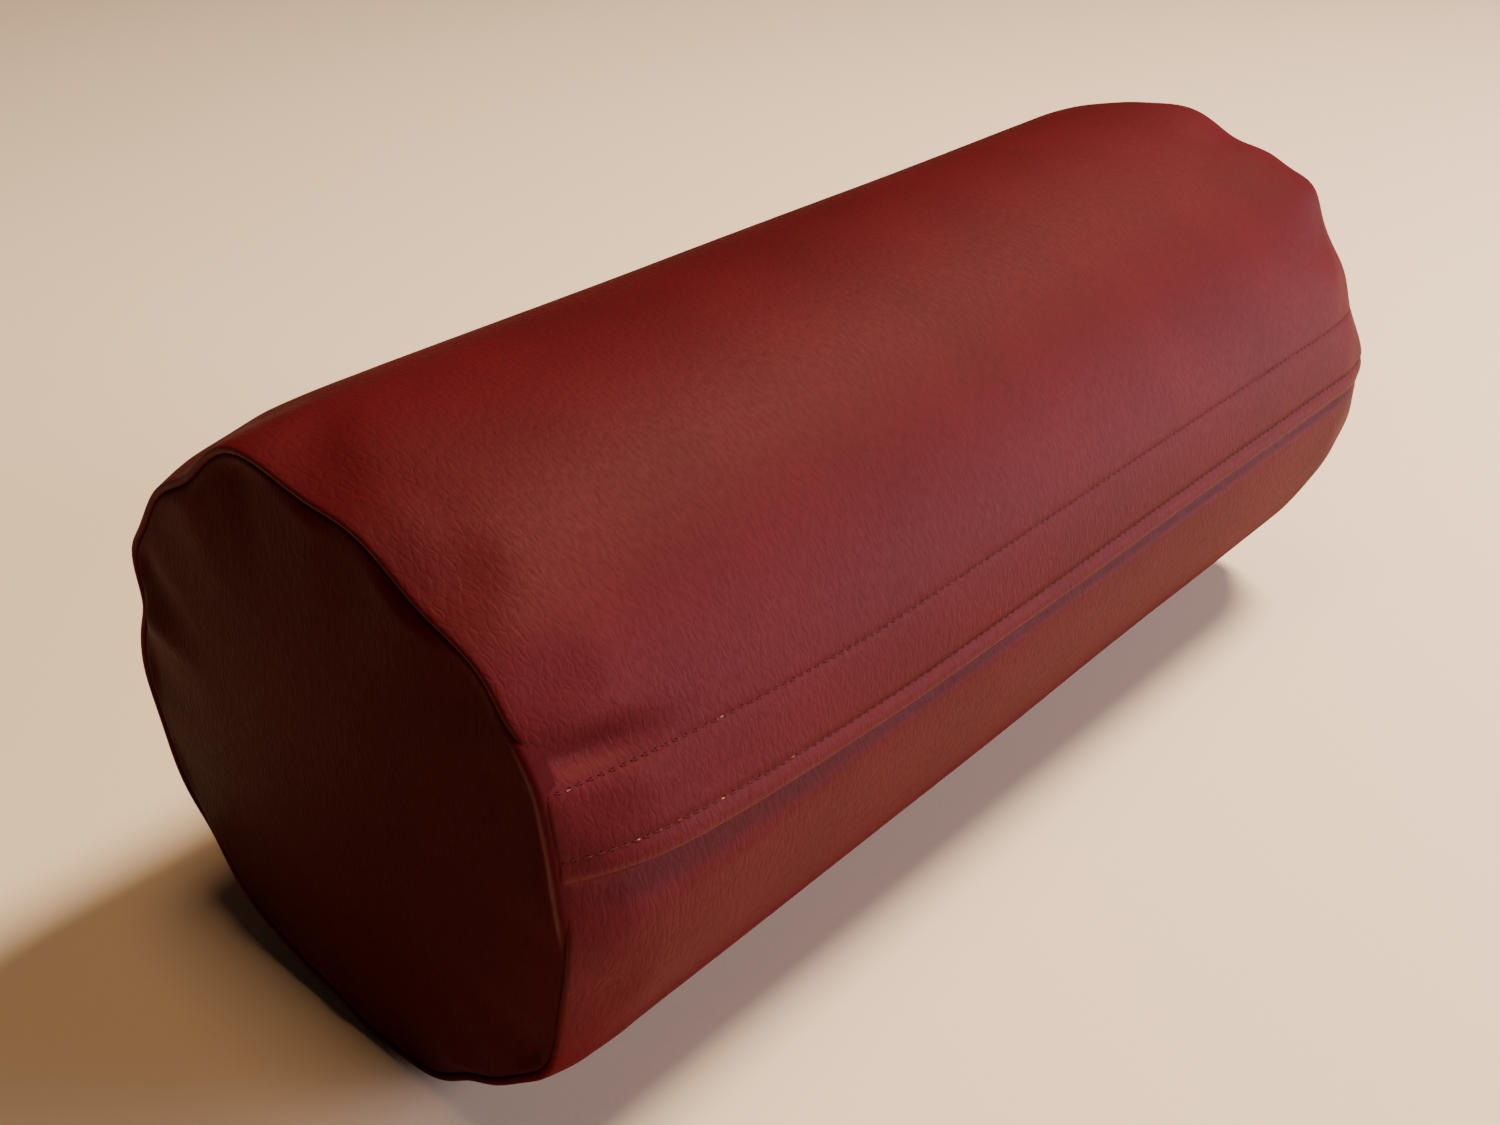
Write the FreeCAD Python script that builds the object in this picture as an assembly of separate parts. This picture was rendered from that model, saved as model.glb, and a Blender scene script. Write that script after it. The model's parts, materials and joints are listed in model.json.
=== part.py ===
import FreeCAD, Part
import math
import os

# Round bolster pillow: a vinyl cover with a zip placket and a disc sewn in at each end,
# over a foam core wrapped in batting.
#
# Millimetres. The pillow lies along X with its rest flat on z = 0, and the origin is the
# centre of that flat. The placket is on the -Y side; "left" is the -X end.
#
# Places on the placket side are given by x, by s (the distance down round the surface from
# the flap's hinge line) and by depth (the distance inwards from the outer surface).

V = FreeCAD.Vector
X_AXIS = V(1, 0, 0)

# --- overall shape ------------------------------------------------------------------
RADIUS = 100.0              # barrel, outer
BARREL_HALF = 190.0         # half the length of the straight barrel, before the shoulders
SEAM_HALF = 219.0           # half the distance between the body panel's two end edges
SHOULDER_RADIUS = 63.75     # arc that draws the barrel in to each end seam
REST_WIDTH = 44.0           # width of the flat that the pillow's weight presses underneath
END_DOME = 4.0              # how far each end panel bulges past its rim
AXIS_Z = math.sqrt(RADIUS ** 2 - (REST_WIDTH / 2) ** 2)

# --- vinyl and seams ----------------------------------------------------------------
VINYL = 1.0                 # thickness of one layer
HEM = 9.5                   # seam allowance turned in at each end
END_RIM = 92.0              # radius of the end panels' folded rim
THREAD = 0.5                # thread thickness
STITCH_PITCH = 3.3
STITCH_LENGTH = 2.5         # thread seen between two needle holes
SNUG = 0.05                 # play between two sewn faces that nest
CREASE = 0.1                # width left at the bottom of a folded crease

# --- placket ------------------------------------------------------------------------
HINGE_ANGLE = 18.4          # degrees above the axis where the flap's hinge line runs
FLAP_WIDTH = 27.8           # hinge line to fold edge
FLAP_HALF = 185.0           # half the length of the flap that lifts
UPPER_ROW_S = -1.0          # topstitching that the flap hangs from
EDGE_ROW_S = 21.0           # topstitching along the fold edge
ALLOWANCE_S = -7.0          # raw edge of the folded-under allowance
RUNNING_GAP = 0.3           # clearance between pieces that move past each other
UNDERLAP_S = 17.7           # fold of the underlap, beside the zip
STEP_S = FLAP_WIDTH + 2 * RUNNING_GAP
UNDERLAP_THREAD_S = 24.5

# --- zip ----------------------------------------------------------------------------
CHAIN_S = 12.5              # centre line of the chain
ZIP_HALF = 175.0            # outer end of the stops
STOP_LENGTH = 3.0
TAPE_HALF = 188.0
TAPE = 0.6
TAPE_DEPTH = 7.25           # outer face of the tape where the coils are sewn on
COIL_DEPTH = 5.95           # outer face of the coils
COIL_WIDTH = 2.2
COIL_SPACE = 1.6            # left between the coils for the slider's post
RAMP_S = 7.4                # where the upper tape reaches the coils' depth
LOWER_RAMP_S = (17.8, 21.3)
LOWER_TAPE_S = 27.2         # raw edge of the lower tape

SLIDER_HALF = 5.5           # half the slider's length
PLATE = 0.9
ARCH_TOP = 2 * VINYL + RUNNING_GAP
ARCH_BAR = 0.8
ARCH_HALF = 2.8
ARCH_WIDTH = 1.6
TOP_PLATE_DEPTH = 4.7
BOTTOM_PLATE_DEPTH = 8.2
FLANGE_FROM = 3.4           # inner face of the slider's side flanges
FLANGE_DROP = 1.3
PULL_BAR = 1.0              # diameter of the bar that the pull turns on
PULL_DEPTH = 3.9            # depth of that bar's centre
PULL_LENGTH = 16.0
PULL_WIDTH = 5.5
PULL_EYE = (1.15, 4.5)      # half width and far end of the eye
SLIDER_X = -(ZIP_HALF - STOP_LENGTH - SLIDER_HALF - 1.0)

# --- filling ------------------------------------------------------------------------
FILL_GAP = 0.3
FILL_END = 216.3            # outer face of the end batting
BATTING = 13.7
CORE_HALF = 202.7
PLACKET_CHANNEL = 4.6       # room left in the batting for the folded vinyl
ZIP_CHANNEL = 9.4           # room left in the batting for the zip
CHANNEL_S = (-8.0, 30.2)

FAR = 400.0


def angle_at(s):
    """Angle above the axis, in radians, of a place s down the placket side."""
    return math.radians(HINGE_ANGLE) - s / RADIUS


def on_side(x, s, depth=0.0):
    """Point on the barrel's placket side."""
    radius = RADIUS - depth
    a = angle_at(s)
    return V(x, -radius * math.cos(a), AXIS_Z + radius * math.sin(a))


def solid_of(shape):
    """The one solid that a boolean result holds."""
    found = shape.removeSplitter().Solids
    if len(found) != 1:
        raise ValueError(f"expected one solid, found {len(found)}")
    return found[0]


def turned(edges):
    """A closed outline in the XZ plane, turned round the pillow's axis."""
    face = Part.Face(Part.Wire(edges))
    return face.revolve(V(0, 0, AXIS_Z), X_AXIS, 360)


def line(a, b):
    return Part.makeLine(V(a[0], 0, AXIS_Z + a[1]), V(b[0], 0, AXIS_Z + b[1]))


def arc(a, middle, b):
    points = [V(p[0], 0, AXIS_Z + p[1]) for p in (a, middle, b)]
    return Part.Arc(*points).toShape()


def shoulder_point(x, inset=0.0):
    """(x, radius) on a shoulder of the outer shape drawn in by inset."""
    curve = SHOULDER_RADIUS - inset
    run = abs(x) - BARREL_HALF
    return x, RADIUS - SHOULDER_RADIUS + math.sqrt(curve ** 2 - run ** 2)


def pillow(inset, half_length):
    """The whole pillow's shape, drawn in by inset all round and ended at +-half_length."""
    top = RADIUS - inset
    near = (BARREL_HALF + half_length) / 2
    right = arc((BARREL_HALF, top), shoulder_point(near, inset), shoulder_point(half_length, inset))
    left = arc(shoulder_point(-half_length, inset), shoulder_point(-near, inset), (-BARREL_HALF, top))
    outline = [
        line((-half_length, 0), shoulder_point(-half_length, inset)),
        left,
        line((-BARREL_HALF, top), (BARREL_HALF, top)),
        right,
        line(shoulder_point(half_length, inset), (half_length, 0)),
        line((half_length, 0), (-half_length, 0)),
    ]
    above = Part.makeBox(2 * FAR, 2 * FAR, FAR, V(-FAR, -FAR, inset))
    return turned(outline).common(above)


def layer(outer, inner, half_length):
    """A skin of the pillow's shape between two insets."""
    return pillow(outer, half_length).cut(pillow(inner, half_length + VINYL))


def wedge(s_from, s_to):
    """The sector of the placket side between two places, from the axis outwards."""
    reach = 1.6 * RADIUS
    corners = [V(-FAR, 0, AXIS_Z)]
    for s in (s_from, s_to):
        a = angle_at(s)
        corners.append(V(-FAR, -reach * math.cos(a), AXIS_Z + reach * math.sin(a)))
    face = Part.Face(Part.makePolygon(corners + corners[:1]))
    return face.extrude(V(2 * FAR, 0, 0))


def slab(x_from, x_to):
    """Everything between two planes across the axis."""
    return Part.makeBox(x_to - x_from, 2 * FAR, 2 * FAR, V(x_from, -FAR, -FAR))


def bar(x_from, x_to, s_from, s_to, outer, inner):
    """A strip along X that follows the barrel's curve."""
    middle = (s_from + s_to) / 2
    edges = [
        Part.Arc(*[on_side(x_from, s, outer) for s in (s_from, middle, s_to)]).toShape(),
        Part.makeLine(on_side(x_from, s_to, outer), on_side(x_from, s_to, inner)),
        Part.Arc(*[on_side(x_from, s, inner) for s in (s_to, middle, s_from)]).toShape(),
        Part.makeLine(on_side(x_from, s_from, inner), on_side(x_from, s_from, outer)),
    ]
    return Part.Face(Part.Wire(edges)).extrude(V(x_to - x_from, 0, 0))


def ramp(half_length, start, end, thickness):
    """A strip along X that crosses from one (s, depth) to another."""
    corners = [
        on_side(-half_length, *start),
        on_side(-half_length, *end),
        on_side(-half_length, end[0], end[1] + thickness),
        on_side(-half_length, start[0], start[1] + thickness),
    ]
    face = Part.Face(Part.makePolygon(corners + corners[:1]))
    return face.extrude(V(2 * half_length, 0, 0))


# --- vinyl pieces -------------------------------------------------------------------

def body_panel():
    """The barrel's sheet: hems at both ends, fixed flap ends, and the folded underlap."""
    hinge_edge = -RUNNING_GAP / 2
    inside = SEAM_HALF - 2 * VINYL
    shell = pillow(0, SEAM_HALF).cut(pillow(VINYL, inside))
    shell = shell.cut(turned_disc(-FAR, FAR, END_RIM - HEM))
    for side in (-1, 1):
        rim = turned_disc(side * (SEAM_HALF - VINYL), side * FAR, END_RIM + SNUG)
        shell = shell.cut(rim)
    mouth = layer(0, VINYL, inside).common(wedge(hinge_edge, STEP_S))
    shell = shell.cut(mouth)

    allowance = layer(VINYL, 2 * VINYL, inside).common(wedge(ALLOWANCE_S, hinge_edge))
    flap_end = layer(0, 2 * VINYL, inside).common(wedge(hinge_edge, FLAP_WIDTH))
    fixed_from = FLAP_HALF + 2 * RUNNING_GAP
    flap_ends = flap_end.cut(slab(-fixed_from, fixed_from))
    top = 2 * VINYL + RUNNING_GAP
    underlap = layer(top, top + VINYL, inside).common(wedge(UNDERLAP_S, STEP_S + VINYL))
    fold_back = layer(top + VINYL, top + 2 * VINYL, inside)
    fold_back = fold_back.common(wedge(UNDERLAP_S, LOWER_TAPE_S))
    step = layer(0, top + VINYL, inside).common(wedge(STEP_S, STEP_S + VINYL))
    return solid_of(shell.multiFuse([allowance, flap_ends, underlap, fold_back, step]))


def turned_disc(x_from, x_to, radius):
    """A disc or bar round the pillow's axis."""
    low, high = min(x_from, x_to), max(x_from, x_to)
    return Part.makeCylinder(radius, high - low, V(low, 0, AXIS_Z), X_AXIS)


def placket_flap():
    """The folded strip of vinyl that lifts off the zip; it hinges at s = 0, depth 0."""
    strip = layer(0, 2 * VINYL, SEAM_HALF).common(wedge(RUNNING_GAP / 2, FLAP_WIDTH))
    return solid_of(strip.common(slab(-FLAP_HALF, FLAP_HALF)))


def end_panel(side):
    """A domed disc whose rim is folded back as a flat hem."""
    face = SEAM_HALF + VINYL
    fold = END_RIM - VINYL
    hem_edge = END_RIM - HEM
    crease = fold - CREASE

    def at(x, radius):
        return side * x, radius

    def dome(x_rim, radius, x_top):
        """The rim, middle and top of a dome that meets the axis square."""
        rise = x_top - x_rim
        curve = (radius ** 2 + rise ** 2) / (2 * rise)
        middle = x_top - curve + math.sqrt(curve ** 2 - (radius / 2) ** 2)
        return at(x_rim, radius), at(middle, radius / 2), at(x_top, 0)

    outline = [
        arc(*dome(face, fold, face + END_DOME)),
        line(at(face + END_DOME, 0), at(SEAM_HALF + END_DOME, 0)),
        arc(*reversed(dome(SEAM_HALF + CREASE, crease, SEAM_HALF + END_DOME))),
        line(at(SEAM_HALF + CREASE, crease), at(SEAM_HALF, crease)),
        line(at(SEAM_HALF, crease), at(SEAM_HALF, hem_edge)),
        line(at(SEAM_HALF, hem_edge), at(SEAM_HALF - VINYL, hem_edge)),
        line(at(SEAM_HALF - VINYL, hem_edge), at(SEAM_HALF - VINYL, fold)),
        arc(at(SEAM_HALF - VINYL, fold), at(SEAM_HALF, END_RIM), at(face, fold)),
    ]
    return solid_of(turned(outline))


# --- threads ------------------------------------------------------------------------

def stitch(run, s):
    """One length of thread on the surface, run mm along the pillow from its middle."""
    beyond = max(abs(run) - BARREL_HALF, 0.0)
    slope = beyond / SHOULDER_RADIUS
    side = math.copysign(1, run)
    x = side * (min(abs(run), BARREL_HALF) + SHOULDER_RADIUS * math.sin(slope))
    sink = SHOULDER_RADIUS * (1 - math.cos(slope))
    a = angle_at(s)
    outward = V(0, -math.cos(a), math.sin(a))
    along = X_AXIS * math.cos(slope) - outward * side * math.sin(slope)
    middle = on_side(x, s, sink + THREAD / 4)
    return Part.makeCylinder(THREAD / 2, STITCH_LENGTH, middle - along * (STITCH_LENGTH / 2), along)


def stitch_row(s, run_from, run_to):
    """Stitches between two places along the pillow, on one regular pitch."""
    first = math.ceil(run_from / STITCH_PITCH)
    last = math.floor(run_to / STITCH_PITCH)
    return [stitch(i * STITCH_PITCH, s) for i in range(first, last + 1)]


def end_seam_thread(side):
    """The ring of thread on the inner face of the two hems."""
    face = side * (SEAM_HALF - 2 * VINYL)
    radius = END_RIM - 2 * VINYL
    ring = turned_disc(face, face - side * THREAD, radius + THREAD / 2)
    return solid_of(ring.cut(turned_disc(-FAR, FAR, radius - THREAD / 2)))


def underlap_thread():
    """The line of thread under the lower tape, where the underlap is sewn to it."""
    depth = 4 * VINYL + RUNNING_GAP + TAPE
    s = UNDERLAP_THREAD_S
    return bar(-TAPE_HALF, TAPE_HALF, s - THREAD / 2, s + THREAD / 2, depth, depth + THREAD)


# --- zip ----------------------------------------------------------------------------

def zip_tape_upper():
    """From the flap's allowance down to the upper coil."""
    sewn_depth = 2 * VINYL
    sewn_to = -2 * RUNNING_GAP
    inner_edge = CHAIN_S - COIL_SPACE / 2
    sewn = bar(-TAPE_HALF, TAPE_HALF, ALLOWANCE_S + 1, sewn_to, sewn_depth, sewn_depth + TAPE)
    slope = ramp(TAPE_HALF, (sewn_to, sewn_depth), (RAMP_S, TAPE_DEPTH), TAPE)
    flat = bar(-TAPE_HALF, TAPE_HALF, RAMP_S, inner_edge, TAPE_DEPTH, TAPE_DEPTH + TAPE)
    return solid_of(sewn.multiFuse([slope, flat]))


def zip_tape_lower():
    """From the lower coil up to the back of the underlap."""
    sewn_depth = 4 * VINYL + RUNNING_GAP
    start, end = LOWER_RAMP_S
    inner_edge = CHAIN_S + COIL_SPACE / 2
    flat = bar(-TAPE_HALF, TAPE_HALF, inner_edge, start, TAPE_DEPTH, TAPE_DEPTH + TAPE)
    slope = ramp(TAPE_HALF, (start, TAPE_DEPTH), (end, sewn_depth), TAPE)
    sewn = bar(-TAPE_HALF, TAPE_HALF, end, LOWER_TAPE_S, sewn_depth, sewn_depth + TAPE)
    return solid_of(flat.multiFuse([slope, sewn]))


def coil_span(side):
    """(s_from, s_to) of the upper (-1) or lower (+1) coil."""
    near = CHAIN_S + side * COIL_SPACE / 2
    far = near + side * COIL_WIDTH
    return min(near, far), max(near, far)


def zip_coil(side):
    """A coil of the chain, as the plain bar that its turns fill."""
    half = ZIP_HALF - STOP_LENGTH
    return bar(-half, half, *coil_span(side), COIL_DEPTH, TAPE_DEPTH)


def zip_top_stop(side):
    """A clip at the closed end of one coil."""
    start, end = coil_span(side)
    return bar(-ZIP_HALF, STOP_LENGTH - ZIP_HALF, start, end, COIL_DEPTH - 0.2, TAPE_DEPTH)


def zip_bottom_stop():
    """The clip across both coils at the open end."""
    start, end = coil_span(-1)[0], coil_span(1)[1]
    return bar(ZIP_HALF - STOP_LENGTH, ZIP_HALF, start, end, COIL_DEPTH - 0.2, TAPE_DEPTH)


def onto_chain(shape):
    """Put a shape drawn flat (x along the chain, z outwards from the surface) on the chain."""
    a = angle_at(CHAIN_S)
    shape.rotate(V(0, 0, 0), X_AXIS, 90 - math.degrees(a))
    shape.translate(on_side(SLIDER_X, CHAIN_S))
    return shape


def slider_plate(depth, thickness):
    """The slider's plan: wide where the coils part, narrower where they leave meshed."""
    half_plan = [(-SLIDER_HALF, 3.7), (-4.0, 4.75), (0.5, 4.75), (SLIDER_HALF, 4.2)]
    corners = half_plan + [(x, -y) for x, y in reversed(half_plan)]
    points = [V(x, y, -depth - thickness) for x, y in corners]
    return Part.Face(Part.makePolygon(points + points[:1])).extrude(V(0, 0, thickness))


def zip_slider():
    """Two plates round the chain, joined by the post, with an arch for the pull."""
    top = slider_plate(TOP_PLATE_DEPTH, PLATE)
    bottom = slider_plate(BOTTOM_PLATE_DEPTH, PLATE - 0.1)
    under_top = TOP_PLATE_DEPTH + PLATE
    flanges = slider_plate(under_top, FLANGE_DROP)
    inner = Part.makeBox(FAR, 2 * FLANGE_FROM, FAR, V(-FAR / 2, -FLANGE_FROM, -FAR / 2))
    flanges = flanges.cut(inner)
    post_width = COIL_SPACE - 2 * RUNNING_GAP
    post_depth = BOTTOM_PLATE_DEPTH - under_top
    corner = V(-SLIDER_HALF + 0.5, -post_width / 2, -BOTTOM_PLATE_DEPTH)
    post = Part.makeBox(4.0, post_width, post_depth, corner)

    arch_height = TOP_PLATE_DEPTH - ARCH_TOP
    arch = Part.makeBox(
        2 * ARCH_HALF, ARCH_WIDTH, arch_height, V(-ARCH_HALF, -ARCH_WIDTH / 2, -TOP_PLATE_DEPTH)
    )
    opening = Part.makeBox(
        2 * (ARCH_HALF - ARCH_BAR),
        ARCH_WIDTH,
        arch_height - ARCH_BAR,
        V(ARCH_BAR - ARCH_HALF, -ARCH_WIDTH / 2, -TOP_PLATE_DEPTH),
    )
    arch = arch.cut(opening)
    return onto_chain(solid_of(top.multiFuse([bottom, flanges, post, arch])))


def zip_pull():
    """A tab with an eye; the eye's end bar turns under the slider's arch."""
    eye_half, eye_end = PULL_EYE
    arms_half = 2.4
    tip_radius = PULL_WIDTH / 2
    low = -PULL_DEPTH - PULL_BAR / 2
    arms = Part.makeBox(eye_end, 2 * arms_half, PULL_BAR, V(0, -arms_half, low))
    tab_length = PULL_LENGTH - tip_radius - eye_end
    tab = Part.makeBox(tab_length, PULL_WIDTH, PULL_BAR, V(eye_end, -tip_radius, low))
    tip = Part.makeCylinder(tip_radius, PULL_BAR, V(PULL_LENGTH - tip_radius, 0, low))
    bar_end = V(0, -arms_half, -PULL_DEPTH)
    pivot = Part.makeCylinder(PULL_BAR / 2, 2 * arms_half, bar_end, V(0, 1, 0))
    eye = Part.makeBox(eye_end, 2 * eye_half, FAR, V(0, -eye_half, -FAR / 2))
    flat = arms.multiFuse([tab, tip]).cut(eye)
    return onto_chain(solid_of(flat.fuse(pivot)))


# --- filling ------------------------------------------------------------------------

def cut_channels(batting):
    """Make room in the batting for the placket's folds and for the zip."""
    sector = wedge(*CHANNEL_S)
    folds = layer(0, PLACKET_CHANNEL, SEAM_HALF).common(sector)
    chain = layer(0, ZIP_CHANNEL, SEAM_HALF).common(sector).common(slab(-BARREL_HALF, BARREL_HALF))
    return solid_of(batting.cut(folds).cut(chain))


def batting_wrap():
    """The batting rolled round the foam core."""
    inset = VINYL + FILL_GAP
    tube = layer(inset, inset + BATTING, FILL_END)
    return cut_channels(tube.common(slab(-CORE_HALF, CORE_HALF)))


def batting_end(side):
    """The batting disc between the foam core and an end panel."""
    disc = pillow(VINYL + FILL_GAP, FILL_END)
    near = side * (CORE_HALF + FILL_GAP)
    span = slab(min(near, side * FAR), max(near, side * FAR))
    return cut_channels(disc.common(span))


def foam_core():
    """The foam log, pressed flat underneath like the pillow itself."""
    log = pillow(VINYL + 2 * FILL_GAP + BATTING, FILL_END)
    return solid_of(log.common(slab(-CORE_HALF, CORE_HALF)))


# --- export -------------------------------------------------------------------------

def save(name, shapes):
    """Write one node: a single solid, or a group of separate solids."""
    shape = shapes[0] if len(shapes) == 1 else Part.makeCompound(shapes)
    if not shape.isValid():
        raise ValueError(f"{name} is not valid")
    shape.exportStep(f"parts/{name}.step")
    print(f"{name}: {len(shapes)} solid(s), {shape.Volume:.1f} mm3")


os.makedirs("parts", exist_ok=True)

fixed_run = FLAP_HALF + STITCH_PITCH
last_run = SEAM_HALF - 2 * STITCH_PITCH
fixed_stitches = stitch_row(EDGE_ROW_S, -last_run, -fixed_run)
fixed_stitches += stitch_row(EDGE_ROW_S, fixed_run, last_run)

save("body_panel", [body_panel()])
save("placket_flap", [placket_flap()])
save("end_panel_left", [end_panel(-1)])
save("end_panel_right", [end_panel(1)])
save("topstitch_upper", stitch_row(UPPER_ROW_S, -last_run, last_run))
save("flap_edge_stitches", stitch_row(EDGE_ROW_S, STITCH_PITCH - FLAP_HALF, FLAP_HALF - STITCH_PITCH))
save("flap_edge_stitches_ends", fixed_stitches)
save("underlap_thread", [underlap_thread()])
save("end_seam_thread_left", [end_seam_thread(-1)])
save("end_seam_thread_right", [end_seam_thread(1)])
save("zip_tape_upper", [zip_tape_upper()])
save("zip_tape_lower", [zip_tape_lower()])
save("zip_coil_upper", [zip_coil(-1)])
save("zip_coil_lower", [zip_coil(1)])
save("zip_top_stops", [zip_top_stop(-1), zip_top_stop(1)])
save("zip_bottom_stop", [zip_bottom_stop()])
save("zip_slider", [zip_slider()])
save("zip_pull", [zip_pull()])
save("batting_wrap", [batting_wrap()])
save("batting_end_left", [batting_end(-1)])
save("batting_end_right", [batting_end(1)])
save("foam_core", [foam_core()])
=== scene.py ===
import json
import math

import bpy
import numpy as np
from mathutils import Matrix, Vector


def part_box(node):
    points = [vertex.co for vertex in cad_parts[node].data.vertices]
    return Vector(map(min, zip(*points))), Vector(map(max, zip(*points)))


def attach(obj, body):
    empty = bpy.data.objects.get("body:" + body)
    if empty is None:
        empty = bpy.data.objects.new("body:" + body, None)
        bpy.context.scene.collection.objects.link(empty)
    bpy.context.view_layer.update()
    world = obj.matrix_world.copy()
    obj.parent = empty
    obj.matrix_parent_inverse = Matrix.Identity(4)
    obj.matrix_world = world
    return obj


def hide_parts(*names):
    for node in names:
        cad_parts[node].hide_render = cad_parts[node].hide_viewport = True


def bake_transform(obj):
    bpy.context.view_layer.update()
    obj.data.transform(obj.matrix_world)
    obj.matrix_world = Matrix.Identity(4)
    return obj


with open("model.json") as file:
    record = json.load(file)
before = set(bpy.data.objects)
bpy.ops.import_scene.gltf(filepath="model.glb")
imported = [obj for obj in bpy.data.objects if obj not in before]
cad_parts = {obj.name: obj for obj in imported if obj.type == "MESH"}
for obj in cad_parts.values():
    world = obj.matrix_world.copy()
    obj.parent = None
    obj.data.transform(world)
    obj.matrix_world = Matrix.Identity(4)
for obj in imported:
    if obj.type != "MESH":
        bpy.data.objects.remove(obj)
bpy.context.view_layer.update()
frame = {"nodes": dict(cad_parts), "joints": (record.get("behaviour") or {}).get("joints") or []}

# Lengths in this script are in millimetres and angles in degrees. MM turns them into the frame's metres.
# Only the camera's and the lights' places and sizes are in metres.
MM = 0.001

# What the frame gives: the sizes of the barrel, the end discs, the flap and the foam, the hinge line, and the
# zip's travel.
panel_low, panel_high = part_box("body_panel")
RADIUS = (panel_high.y - panel_low.y) / 2 / MM
AXIS_Z = panel_high.z / MM - RADIUS
DISC_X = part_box("end_panel_right")[1].x / MM
CORE_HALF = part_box("foam_core")[1].x / MM
CORE_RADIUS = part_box("foam_core")[1].y / MM
hinge_joint = next(j for j in frame["joints"] if j["name"] == "flap_lift")
HINGE = math.degrees(math.atan2(hinge_joint["pos_m"][2] / MM - AXIS_Z, -hinge_joint["pos_m"][1] / MM))
slide_joint = next(j for j in frame["joints"] if j["name"] == "zip_slide")
ZIP_TRAVEL = slide_joint["range_m"][1] / MM
AROUND = 2 * math.pi * RADIUS

# Lengthwise outline of the cover: straight barrel, soft shoulder, then a small roll into the end seam.
BARREL_HALF = 190.0
SHOULDER_RADIUS = 77.0
SHOULDER_TURN = math.radians(21.8)
ROLL_RADIUS = 1.2
TAIL = 4.0
SEAM_V = BARREL_HALF + SHOULDER_RADIUS * SHOULDER_TURN
ROLL_LENGTH = ROLL_RADIUS * (math.pi - SHOULDER_TURN)
TIP_V = SEAM_V + ROLL_LENGTH + TAIL

# The placket. Places round the barrel are measured from the hinge line, down being positive, and depths from
# the surface inwards.
UPPER_ROW = -1.0
EDGE_ROW = 21.0
FOLD = 27.8
FLAP_THICK = 2.0
ALLOWANCE = -5.0
STEP = 28.4
STEP_DEPTH = 2.3
LEFT_GAP = 1.3
UNDERLAP_FOLD = 17.7
UNDERLAP_THICK = 2.0
SEAM_SQUEEZE = 0.35
PITCH = 3.3
STITCH_LENGTH = 2.7
THREAD_RADIUS = 0.25
# Near each end the underlap widens into a facing that closes the opening under the flap. It begins past the
# top stops at the left, and past the farthest place of the pull's tip at the right.
PULL_CLEARANCE = 1.5
FACING_LEFT = 178.0
FACING_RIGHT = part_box("zip_pull")[1].x / MM + ZIP_TRAVEL + PULL_CLEARANCE
FACING_RISE = 8.0
FACING_REACH = 20.7
# The zip chain: its place round the barrel and depth, and the wound coils' turns.
CHAIN = 12.5
COIL_DEPTH = 5.95
COIL_PITCH = 1.35
COIL_REACH = 1.9
COIL_HEIGHT = 1.1
COIL_WIRE = 0.33

# Gathers at each end seam: angle above the placket side's horizontal, lift, half width in degrees.
LEFT_GATHERS = [
    (8, -2.0, 10), (26, 0.6, 5), (43, 1.9, 7), (60, -2.6, 12), (85, -1.6, 9), (105, 2.4, 8), (125, -2.0, 9),
    (140, 0.6, 8), (155, 2.6, 6), (166, -3.2, 6), (181, 2.2, 8), (203, 1.0, 9), (217, -2.6, 7), (235, 1.2, 9),
    (258, -2.0, 8), (284, 1.6, 8), (300, -2.2, 7), (326, 3.0, 9), (349, -0.6, 8),
]
RIGHT_GATHERS = [
    (-22, -1.4, 7), (-9, 1.8, 6), (7, 2.2, 6), (19, -1.8, 7), (37, -1.4, 7), (50, 3.8, 6), (61, 0.8, 5),
    (72, -2.2, 7), (88, 1.2, 7), (104, -1.6, 8), (122, 1.8, 7), (139, -2.0, 7), (156, 1.4, 8),
    (176, -2.2, 8), (196, 2.0, 8), (214, -1.6, 7), (232, 1.6, 7), (251, -2.2, 8), (270, 1.2, 7),
    (290, -1.8, 7), (312, 1.6, 7),
]
# How far a gather reaches into the cover, and how sharply it fades.
GATHER_REACH = 17.0
GATHER_FADE = 1.3
# Dents in the cover: position along the axis, angle, half lengths along and around, slant, depth.
DENTS = [
    (-204, 27.2, 19, 3.4, -0.15, 5.2),
    (-206, 78.0, 14, 9.0, -0.5, 1.3),
    (-203, 96.0, 12, 6.0, 0.4, 1.4),
    (-200, 112.0, 15, 7.0, 0.2, 1.5),
    (-203, 62.0, 13, 10.0, -0.2, 0.6),
    (-208, 6.0, 10, 5.0, 0.0, 0.8),
    (199, 70.0, 20, 7.0, 0.2, 1.4),
    (203, 36.0, 18, 6.0, -0.2, 1.2),
    (201, 20.0, 16, 6.0, 0.1, 1.0),
]
# Slack waves: random seed, and height for each 250 mm of a wave's length.
SLACK_SEED = 11
SLACK_HEIGHT = 0.16
# Where the placket's opening stops being free and where it is wholly closed, from the middle.
FREE_TO = 172.0
CLOSED_FROM = 200.0
# End panels: points in a ring, radius of the rim, its roll, and the seam's place along the axis.
END_COLUMNS = 300
END_RIM = 92.5
END_ROLL = 2.4
END_SEAM_X = 219.8
# Cloth simulation of the cover: grid, seam gathering, filling pressure and stiffness, and the share and the
# most of its stand-off that the cover takes over.
CLOTH_SEED = 7
CLOTH_STEP = 5.5
CLOTH_COLUMNS = 116
CLOTH_RADIUS = 97.0
CLOTH_GATHERING = 0.06
CLOTH_PRESSURE = 5.0
CLOTH_BENDING = 8.0
CLOTH_FRAMES = 12
CLOTH_SHARE = 0.8
CLOTH_LIMIT = 2.4


def smooth(value, start, end):
    """0 before start, 1 after end and a smooth rise between them."""
    t = np.clip((value - start) / (end - start), 0, 1)
    return t * t * (3 - 2 * t)


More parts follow.
